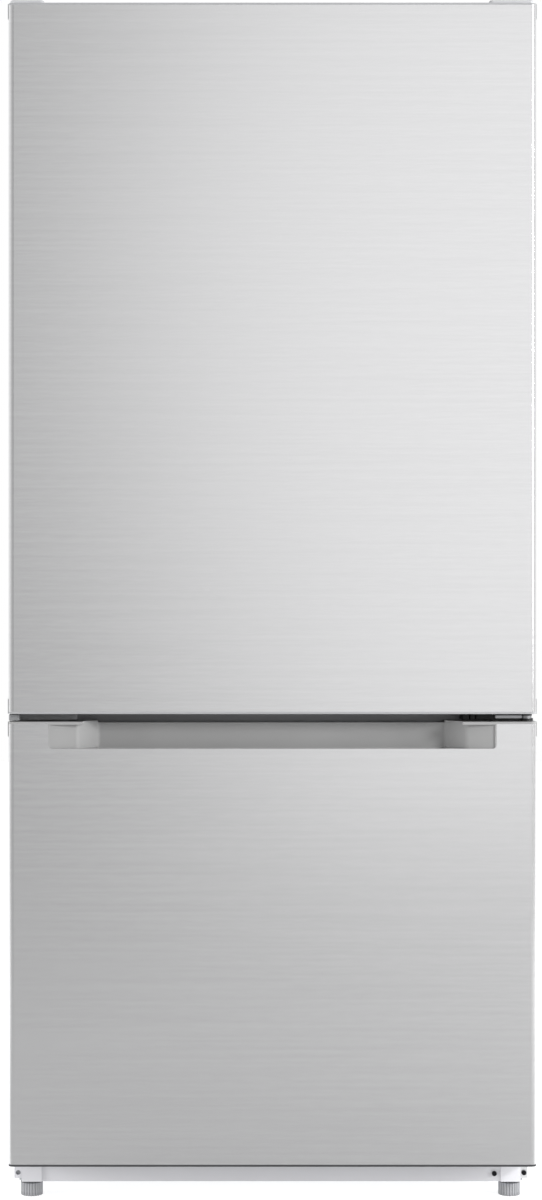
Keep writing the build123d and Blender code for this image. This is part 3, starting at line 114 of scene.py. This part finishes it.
def moulded_plastic(name, dark, light, rough, grain_mm, depth_mm, cloud_mm=90.0, **shader):
    """Injection-moulded plastic: a fine eroded grain, and a cloudy change of tone across the piece."""
    material, tree, place = start_material(name)
    grain = add(tree, "TexNoise", {"Vector": place, "Scale": 1 / (grain_mm * MM), "Detail": 3.0}).outputs[0]
    cloud = add(tree, "TexNoise", {"Vector": place, "Scale": 1 / (cloud_mm * MM), "Detail": 2.0}).outputs[0]
    bump = add(tree, "Bump", {"Height": grain, "Strength": 0.35, "Distance": depth_mm * MM}).outputs[0]
    surface = add(tree, "BsdfPrincipled", {
        "Base Color": two_tone(tree, cloud, dark, light),
        "Roughness": spread(tree, grain, rough - 0.06, rough + 0.06),
        "Normal": bump,
        **{key.replace("_", " "): value for key, value in shader.items()},
    })
    finish_material(tree, surface)
    return material


def painted_steel(name, dark, light, rough, peel_mm, depth_mm):
    """Coated sheet steel: the slight orange peel of a sprayed or rolled coat over flat metal."""
    material, tree, place = start_material(name)
    peel = add(tree, "TexNoise", {"Vector": place, "Scale": 1 / (peel_mm * MM), "Detail": 1.5}).outputs[0]
    cloud = add(tree, "TexNoise", {"Vector": place, "Scale": 1 / (250 * MM), "Detail": 2.0}).outputs[0]
    bump = add(tree, "Bump", {"Height": peel, "Strength": 0.3, "Distance": depth_mm * MM}).outputs[0]
    surface = add(tree, "BsdfPrincipled", {
        "Base Color": two_tone(tree, cloud, dark, light),
        "Roughness": spread(tree, cloud, rough - 0.05, rough + 0.05),
        "Coat Weight": 0.15,
        "Normal": bump,
    })
    finish_material(tree, surface)
    return material


def drawn_metal(name, dark, light, rough, line_mm, length_mm, axis, depth_mm=0.02):
    """Bare metal with the fine lines of rolling, drawing or brushing along one axis."""
    material, tree, place = start_material(name)
    scale = [1 / (line_mm * MM)] * 3
    scale["XYZ".index(axis)] = 1 / (length_mm * MM)
    lined = add(tree, "Mapping", {"Vector": place, "Scale": scale}).outputs[0]
    line = add(tree, "TexNoise", {"Vector": lined, "Scale": 1.0, "Detail": 3.0}).outputs[0]
    bump = add(tree, "Bump", {"Height": line, "Strength": 0.25, "Distance": depth_mm * MM}).outputs[0]
    surface = add(tree, "BsdfPrincipled", {
        "Base Color": two_tone(tree, line, dark, light),
        "Metallic": 1.0,
        "Roughness": spread(tree, line, rough - 0.06, rough + 0.08),
        "Normal": bump,
    })
    finish_material(tree, surface)
    return material


def clear_moulding(name, tint, ior, rough, ripple_mm):
    """See-through plastic or glass: clear, a little wavy, and tinted where it is thick."""
    material, tree, place = start_material(name)
    ripple = add(tree, "TexNoise", {"Vector": place, "Scale": 1 / (ripple_mm * MM), "Detail": 1.0}).outputs[0]
    bump = add(tree, "Bump", {"Height": ripple, "Strength": 0.1, "Distance": 0.1 * MM}).outputs[0]
    surface = add(tree, "BsdfPrincipled", {
        "Base Color": linear(tint),
        "IOR": ior,
        "Transmission Weight": 1.0,
        "Roughness": spread(tree, ripple, rough, rough + 0.04),
        "Normal": bump,
    })
    finish_material(tree, surface)
    return material


# --- Finishes -----------------------------------------------------------------------------------------


def brushed_stainless():
    """Stainless steel sheet brushed from side to side.

    The grit leaves lines of about 0.2 mm, drawn 1.8 mm apart so that they show in the render. They break up
    the reflection into level streaks about 28 mm long, and the belt leaves fainter bands, 350 by 6 mm.
    """
    material, tree, place = start_material("brushed_stainless_steel")
    streak = (1 / (28 * MM), 1 / (28 * MM), 1 / (1.8 * MM))
    fine_map = add(tree, "Mapping", {"Vector": place, "Scale": streak}).outputs[0]
    fine = add(tree, "TexNoise", {"Vector": fine_map, "Scale": 1.0, "Detail": 3.0,
                                  "Roughness": 0.6}).outputs[0]
    belt = (1 / (350 * MM), 1 / (350 * MM), 1 / (6 * MM))
    band_map = add(tree, "Mapping", {"Vector": place, "Scale": belt}).outputs[0]
    band = add(tree, "TexNoise", {"Vector": band_map, "Scale": 1.0, "Detail": 2.0}).outputs[0]
    both = add(tree, "Math", {0: fine, 1: band}, operation="ADD").outputs[0]
    lines = add(tree, "MapRange", {"Value": both, "From Min": 0.75, "From Max": 1.25}).outputs[0]
    bump = add(tree, "Bump", {"Height": fine, "Strength": 0.05, "Distance": 0.02 * MM}).outputs[0]
    surface = add(tree, "BsdfPrincipled", {
        "Base Color": two_tone(tree, lines, "#dcdcdd", "#e1e1e2"),
        "Metallic": 1.0,
        "Roughness": spread(tree, lines, 0.228, 0.245),
        "Anisotropic": 0.4,
        "Anisotropic Rotation": 0.25,
        "Normal": bump,
    })
    finish_material(tree, surface)
    return material


def galvanised_steel():
    """Hot-dip galvanised sheet: zinc crystals of about 8 mm, each with its own tone and gloss."""
    material, tree, place = start_material("galvanised_steel")
    spangle = add(tree, "TexVoronoi", {"Vector": place, "Scale": 1 / (8 * MM)})
    crystal = add(tree, "SeparateColor", {0: spangle.outputs["Color"]}).outputs[0]
    grit = add(tree, "TexNoise", {"Vector": place, "Scale": 1 / (1.5 * MM), "Detail": 2.0}).outputs[0]
    bump = add(tree, "Bump", {"Height": grit, "Strength": 0.2, "Distance": 0.02 * MM}).outputs[0]
    surface = add(tree, "BsdfPrincipled", {
        "Base Color": two_tone(tree, crystal, "#b4b8bb", "#c9cccf"),
        "Metallic": 1.0,
        "Roughness": spread(tree, crystal, 0.38, 0.52),
        "Normal": bump,
    })
    finish_material(tree, surface)
    return material


def polyurethane_foam():
    """Poured insulation foam: cream, dull and full of small cells."""
    material, tree, place = start_material("polyurethane_foam")
    cells = add(tree, "TexVoronoi", {"Vector": place, "Scale": 1 / (1.5 * MM)}).outputs[0]
    cloud = add(tree, "TexNoise", {"Vector": place, "Scale": 1 / (60 * MM), "Detail": 3.0}).outputs[0]
    bump = add(tree, "Bump", {"Height": cells, "Strength": 0.6, "Distance": 0.4 * MM}).outputs[0]
    surface = add(tree, "BsdfPrincipled", {
        "Base Color": two_tone(tree, cloud, "#d9c996", "#eee2bb"),
        "Roughness": spread(tree, cells, 0.85, 1.0),
        "Normal": bump,
    })
    finish_material(tree, surface)
    return material


def ribbed_foot():
    """Polypropylene of the levelling feet: dull mid grey, scuffed near the floor, with painted shade on the
    top flange where the toe rail shadows it.
    """
    material, tree, place = start_material("moulded_polypropylene_grey")
    height = add(tree, "SeparateXYZ", {0: place}).outputs["Z"]
    grain = add(tree, "TexNoise", {"Vector": place, "Scale": 1 / (0.8 * MM), "Detail": 3.0}).outputs[0]
    cloud = add(tree, "TexNoise", {"Vector": place, "Scale": 1 / (9.0 * MM), "Detail": 3.0}).outputs[0]
    scuff = add(tree, "MapRange", {"Value": height, "From Min": 0.0, "From Max": 7.0 * MM, "To Min": 0.8,
                                   "To Max": 0.0}).outputs[0]
    worn = add(tree, "Math", {0: cloud, 1: scuff}, operation="MULTIPLY").outputs[0]
    body = two_tone(tree, worn, "#a3a4a7", "#77777a")
    # Painted shade: a dark band on the top flange, from 18.2 mm up, stands in for the shadow under the toe
    # rail.
    rail_shadow_band = add(tree, "MapRange", {"Value": height, "From Min": 18.2 * MM, "From Max": 18.8 * MM}).outputs[0]
    painted_shadow_top = add(tree, "Mix", {0: rail_shadow_band, 6: body, 7: linear("#58595b")}, data_type="RGBA").outputs[2]
    bump = add(tree, "Bump", {"Height": grain, "Strength": 0.35, "Distance": 0.08 * MM}).outputs[0]
    surface = add(tree, "BsdfPrincipled", {
        "Base Color": painted_shadow_top,
        "Roughness": spread(tree, cloud, 0.45, 0.6),
        "Normal": bump,
    })
    finish_material(tree, surface)
    return material


FINISHES = {
    # Silver grey coated steel of the cabinet's sides and top: a satin coat with a faint orange peel.
    "cabinet_paint": painted_steel("coated_steel_silver_grey", "#8f9194", "#999b9e", 0.38, 2.5, 0.05),
    "galvanised": galvanised_steel(),
    "foam": polyurethane_foam(),
    # Vacuum-formed high-impact polystyrene: white and smooth, with a soft gloss.
    "white_plastic": moulded_plastic("formed_polystyrene_white", "#eef0f0", "#f6f7f7", 0.28, 3.0, 0.03),
    # Moulded ABS of the caps, knob and sliders: mid grey with a fine matt grain.
    "grey_plastic": moulded_plastic("moulded_abs_grey", "#a3a4a6", "#adaeb0", 0.45, 0.8, 0.06),
    # Moulded ABS of the pocket handle: a silkier face than the caps, so that its curves catch the light.
    "handle_plastic": moulded_plastic("moulded_abs_silver_grey", "#9a9a9a", "#a4a4a4", 0.32, 0.8, 0.03),
    # Moulded ABS of the cap under the lower door: dark and matt. Its darkness is painted shade, standing in
    # for the shadow line under the door.
    "dark_plastic": moulded_plastic("moulded_abs_painted_shade_dark", "#3b3c3e", "#434446", 0.5, 0.8, 0.06),
    # Moulded ABS of the two covers on the top corners: pale grey with the same grain.
    "light_plastic": moulded_plastic("moulded_abs_pale_grey", "#cacbcd", "#d3d4d6", 0.45, 0.8, 0.06),
    # Powder-coated rail between the compartments: cool grey with a fine pebbled coat.
    "rail_paint": painted_steel("powder_coat_mid_grey", "#a0a0a3", "#a9a9ac", 0.5, 1.2, 0.08),
    # Powder-coated toe rail: much paler, with the same pebbled coat.
    "toe_rail_paint": painted_steel("powder_coat_pale_grey", "#dcdce0", "#e4e4e8", 0.5, 1.2, 0.08),
    # Satin anodised strip along the shelves: pale, with lines along its length.
    "trim_aluminium": drawn_metal("satin_anodised_aluminium", "#c9cbcd", "#dfe0e1", 0.28, 0.4, 30.0, "X"),
    # Nickel-plated hinge steel: bright, with the lines of the strip it is stamped from.
    "hinge_steel": drawn_metal("nickel_plated_steel", "#96979a", "#b3b4b6", 0.3, 0.6, 12.0, "X"),
    # Black ABS with a matt moulded grain.
    "black_plastic": moulded_plastic("moulded_abs_black", "#121314", "#1c1d1f", 0.5, 0.8, 0.06),
    # Zinc-plated screws of the back: bright and a little uneven.
    "plated_steel": drawn_metal("zinc_plated_steel", "#b9bbbd", "#d0d2d3", 0.3, 0.5, 0.5, "Z"),
    # Black oxide on screw steel: dark, with a dull sheen from the oil.
    "screw_steel": drawn_metal("black_oxide_steel", "#1b1b1d", "#2e2e31", 0.42, 0.5, 0.5, "Z"),
    # Toughened glass: clear, and green where it is thick.
    "clear_glass": clear_moulding("toughened_glass", "#e6f3ee", 1.52, 0.0, 60.0),
    # Opal polycarbonate over the lamp: milky and softly shining.
    "frosted_plastic": moulded_plastic("opal_polycarbonate", "#eef1f3", "#f7f9fa", 0.5, 0.8, 0.03,
                                       Transmission_Weight=0.4, IOR=1.58),
    # Stoved enamel on the compressor shell: black and glossy, with a slight peel.
    "compressor_black": painted_steel("stoved_enamel_black", "#0f1011", "#17181a", 0.3, 2.0, 0.08),
    # Extruded aluminium tube and fins: pale, with lines along the tube.
    "coil_aluminium": drawn_metal("drawn_aluminium", "#c3c5c7", "#dcddde", 0.35, 0.5, 20.0, "X"),
    "stainless": brushed_stainless(),
    # Extruded soft PVC of the door seals: grey and dull.
    "seal_rubber": moulded_plastic("extruded_pvc_grey", "#7d7e80", "#88898b", 0.62, 0.6, 0.04, 30.0),
    # Clear polystyrene bins and trays: clear with a cool edge.
    "clear_plastic": clear_moulding("clear_polystyrene", "#eef4f7", 1.59, 0.04, 25.0),
    "foot_plastic": ribbed_foot(),
    # Natural nylon rollers: off-white and waxy.
    "nylon": moulded_plastic("natural_nylon", "#dedbd0", "#e8e6dd", 0.42, 0.8, 0.05, 15.0),
    # Frosted polystyrene drawers: pale, letting some light through.
    "drawer_plastic": moulded_plastic("frosted_polystyrene", "#e6edf1", "#f2f6f8", 0.4, 0.9, 0.05,
                                      Transmission_Weight=0.55, IOR=1.59),
}

# Two nodes look different from the rest of their slot.
OWN_FINISHES = {
    # Moulded ABS of the filler between the doors: a darker grey than the caps.
    "gap_plug": moulded_plastic("moulded_abs_mid_grey", "#88898b", "#929395", 0.5, 0.8, 0.06),
    # Zinc plate on the lower hinge: brighter than the nickel of the upper ones.
    "bottom_hinge": drawn_metal("zinc_plated_strip", "#dcdddf", "#e9eaeb", 0.4, 0.6, 12.0, "X"),
}

slot_of = {part["node"]: part["material_slot"] for part in frame["record"]["subparts"]}
for name, node in frame["nodes"].items():
    node.data.materials.clear()
    node.data.materials.append(OWN_FINISHES.get(name, FINISHES[slot_of[name]]))

# --- Fasteners and trim -------------------------------------------------------------------------------

CASE_TOP_Z = 1.7078
BACK_PANEL_Y = 0.3863  # outer face, between its ribs
BACK_PANEL_HALF = 0.3552
BACK_PANEL_BOTTOM_Z = 0.25
SCREW_RADIUS = 5.0 * MM
SCREW_HEIGHT = 1.1 * MM
SCREW_EDGE = 8.0 * MM  # from the edge of the panel
SCREW_PITCH = 160.0 * MM  # along the top and the bottom of the panel
SIDE_SCREWS_Z = (0.36, 0.77, 1.18, 1.59)
SHELF_FRONT_Y = -0.1955
SHELF_HALF = 0.324
SHELF_MIDDLES_Z = (1.21665, 1.43665)
TRIM_HEIGHT = 11.0 * MM
TRIM_DEPTH = 2.4 * MM


def start_piece(add_primitive, **size):
    """Adds a primitive with nothing else selected, and returns it."""
    bpy.ops.object.select_all(action="DESELECT")
    add_primitive(**size)
    return bpy.context.object


def end_piece(piece, name, finish, place):
    """Names a piece of the cabinet, puts its place into its mesh, and gives it its finish."""
    piece.name = name
    piece.location = place
    bpy.ops.object.select_all(action="DESELECT")
    piece.select_set(True)
    bpy.context.view_layer.objects.active = piece
    bpy.ops.object.transform_apply(location=True, rotation=True, scale=True)
    bpy.ops.object.shade_smooth_by_angle(angle=math.radians(40))
    piece.data.materials.clear()
    piece.data.materials.append(FINISHES[finish])
    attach(piece, "cabinet")


def washer_head_screw():
    """A sheet-metal screw of the back: a low domed head with a cross recess, facing away from the doors."""
    head = start_piece(bpy.ops.mesh.primitive_uv_sphere_add, segments=32, ring_count=16, radius=SCREW_RADIUS)
    bpy.ops.object.mode_set(mode="EDIT")
    bpy.ops.mesh.select_all(action="SELECT")
    bpy.ops.mesh.bisect(plane_co=(0, 0, 0), plane_no=(0, 1, 0), use_fill=True, clear_inner=True)
    bpy.ops.mesh.select_all(action="SELECT")
    bpy.ops.transform.resize(value=(1.0, SCREW_HEIGHT / SCREW_RADIUS, 1.0), center_override=(0, 0, 0))
    bpy.ops.object.mode_set(mode="OBJECT")
    for turn in (0.0, math.pi / 2):
        cutter = start_piece(bpy.ops.mesh.primitive_cube_add, size=1.0, location=(0, SCREW_HEIGHT, 0),
                             rotation=(0, turn, 0), scale=(SCREW_RADIUS, SCREW_HEIGHT, SCREW_RADIUS / 5))
        bpy.ops.object.transform_apply(location=True, rotation=True, scale=True)
        bpy.context.view_layer.objects.active = head
        recess = head.modifiers.new("recess", "BOOLEAN")
        recess.object = cutter
        recess.operation = "DIFFERENCE"
        bpy.ops.object.modifier_apply(modifier="recess")
        bpy.data.objects.remove(cutter)
    return head


screw = washer_head_screw()
top_row = [(SCREW_PITCH * step, CASE_TOP_Z - SCREW_EDGE) for step in range(-2, 3)]
bottom_row = [(SCREW_PITCH * step, BACK_PANEL_BOTTOM_Z + SCREW_EDGE) for step in (-1.5, -0.5, 0.5, 1.5)]
side_rows = [(side * (BACK_PANEL_HALF - SCREW_EDGE), z) for side in (-1, 1) for z in SIDE_SCREWS_Z]
for number, (x, z) in enumerate(top_row + bottom_row + side_rows, 1):
    copy = screw.copy()
    copy.data = screw.data.copy()
    scene.collection.objects.link(copy)
    end_piece(copy, f"back_screw_{number}", "plated_steel", (x, BACK_PANEL_Y, z))
bpy.data.objects.remove(screw)

for number, z in enumerate(SHELF_MIDDLES_Z, 1):
    strip = start_piece(bpy.ops.mesh.primitive_cube_add, size=1.0)
    bpy.ops.object.mode_set(mode="EDIT")
    bpy.ops.transform.resize(value=(2 * SHELF_HALF, TRIM_DEPTH, TRIM_HEIGHT))
    bpy.ops.mesh.bevel(offset=TRIM_DEPTH * 0.48, segments=4, affect="EDGES")
    bpy.ops.object.mode_set(mode="OBJECT")
    strip_place = (0.0, SHELF_FRONT_Y - TRIM_DEPTH / 2, z)
    end_piece(strip, f"shelf_trim_{number}", "trim_aluminium", strip_place)

# --- Studio -------------------------------------------------------------------------------------------

FLOOR_SIZE = 14.0
FLOOR_MIDDLE_Y = 2.0
GLOW_START_Y = -0.56  # the floor's glow grows from here
GLOW_FULL_Y = -0.33  # to its full strength here, under the doors
GLOW = 0.8
SOFTBOX_DIRECTION = (0.196, -0.972, 0.126)  # of the bright patch that the doors mirror
SOFTBOX_EDGE = (0.20, 0.29)  # where the patch starts to fade, and where it ends
SOFTBOX_LEVEL = 1.16
FRONT_LEVEL = 0.47  # of the room behind the camera, round the patch
BACKDROP_LEVEL = 1.0
BACKDROP_EDGE = (-0.92, 0.1)  # the room turns from front to backdrop over this part of Y
KEY_PLACE = (2.6, -2.5, 1.7)
KEY_TARGET = (0.0, -0.3, 0.7)
FILL_REACH = 3.0
FILL_TARGET = (0.0, -0.37, 0.68)

floor = start_piece(bpy.ops.mesh.primitive_plane_add, size=FLOOR_SIZE, location=(0, FLOOR_MIDDLE_Y, 0))
floor.name = "studio_floor"
bpy.ops.object.transform_apply(location=True)


def pale_floor():
    """Matt white acrylic sheet with a painted glow: it emits light under and round the object, which fills in
    the shadow there, and falls off towards the camera.
    """
    material, tree, place = start_material("studio_acrylic")
    cloud = add(tree, "TexNoise", {"Vector": place, "Scale": 1 / (800 * MM), "Detail": 1.0}).outputs[0]
    depth = add(tree, "SeparateXYZ", {0: place}).outputs["Y"]
    # Painted glow: the floor emits light from under the doors to the back, so the cabinet's shadow on it is
    # washed out.
    glow = add(tree, "MapRange", {"Value": depth, "From Min": GLOW_START_Y, "From Max": GLOW_FULL_Y,
                                  "To Max": GLOW}, interpolation_type="SMOOTHSTEP").outputs[0]
    surface = add(tree, "BsdfPrincipled", {
        "Base Color": two_tone(tree, cloud, "#b0b0b0", "#b6b6b6"),
        "Roughness": 0.8,
        "Emission Color": (1.0, 1.0, 1.0, 1.0),
        "Emission Strength": glow,
    })
    finish_material(tree, surface)
    return material


floor.data.materials.append(pale_floor())

world = bpy.data.worlds.new("studio")
scene.world = world
world.use_nodes = True
sky = world.node_tree
sky.nodes.clear()
towards = add(sky, "TexCoord").outputs["Generated"]
from_softbox = add(sky, "VectorMath", {0: towards, 1: SOFTBOX_DIRECTION}, operation="SUBTRACT").outputs[0]
flattened = add(sky, "VectorMath", {0: from_softbox, 1: (1.0, 1.0, 0.8)}, operation="MULTIPLY").outputs[0]
away = add(sky, "VectorMath", {0: flattened}, operation="LENGTH").outputs["Value"]
front = add(sky, "MapRange", {"Value": away, "From Min": SOFTBOX_EDGE[0], "From Max": SOFTBOX_EDGE[1],
                              "To Min": SOFTBOX_LEVEL, "To Max": FRONT_LEVEL},
            interpolation_type="SMOOTHSTEP").outputs[0]
rear = add(sky, "SeparateXYZ", {0: towards}).outputs["Y"]
backdrop = add(sky, "MapRange", {"Value": rear, "From Min": BACKDROP_EDGE[0],
                                 "From Max": BACKDROP_EDGE[1]}).outputs[0]
level = add(sky, "Mix", {0: backdrop, 2: front, 3: BACKDROP_LEVEL}, data_type="FLOAT").outputs[0]
lit = add(sky, "Background", {"Color": (1.0, 1.0, 1.0, 1.0), "Strength": level})
add(sky, "OutputWorld", {"Surface": lit.outputs[0]})


def softbox(name, place, target, size, power):
    """A square soft light that looks at a point."""
    data = bpy.data.lights.new(name, "AREA")
    data.energy = power
    data.size = size
    lamp = bpy.data.objects.new(name, data)
    scene.collection.objects.link(lamp)
    lamp.location = place
    lamp.rotation_euler = (Vector(target) - Vector(place)).to_track_quat("-Z", "Y").to_euler()
    return lamp


softbox("key_softbox", KEY_PLACE, KEY_TARGET, size=0.7, power=70.0)
# Two grazing fills reach into the ends of the handle. The steel doesn't mirror them.
for name, side, power in (("fill_left", -1, 46.0), ("fill_right", 1, 40.0)):
    fill = softbox(name, (side * FILL_REACH, -1.0, 0.8), FILL_TARGET, size=0.8, power=power)
    fill.visible_glossy = False
scene.view_settings.view_transform = "Standard"
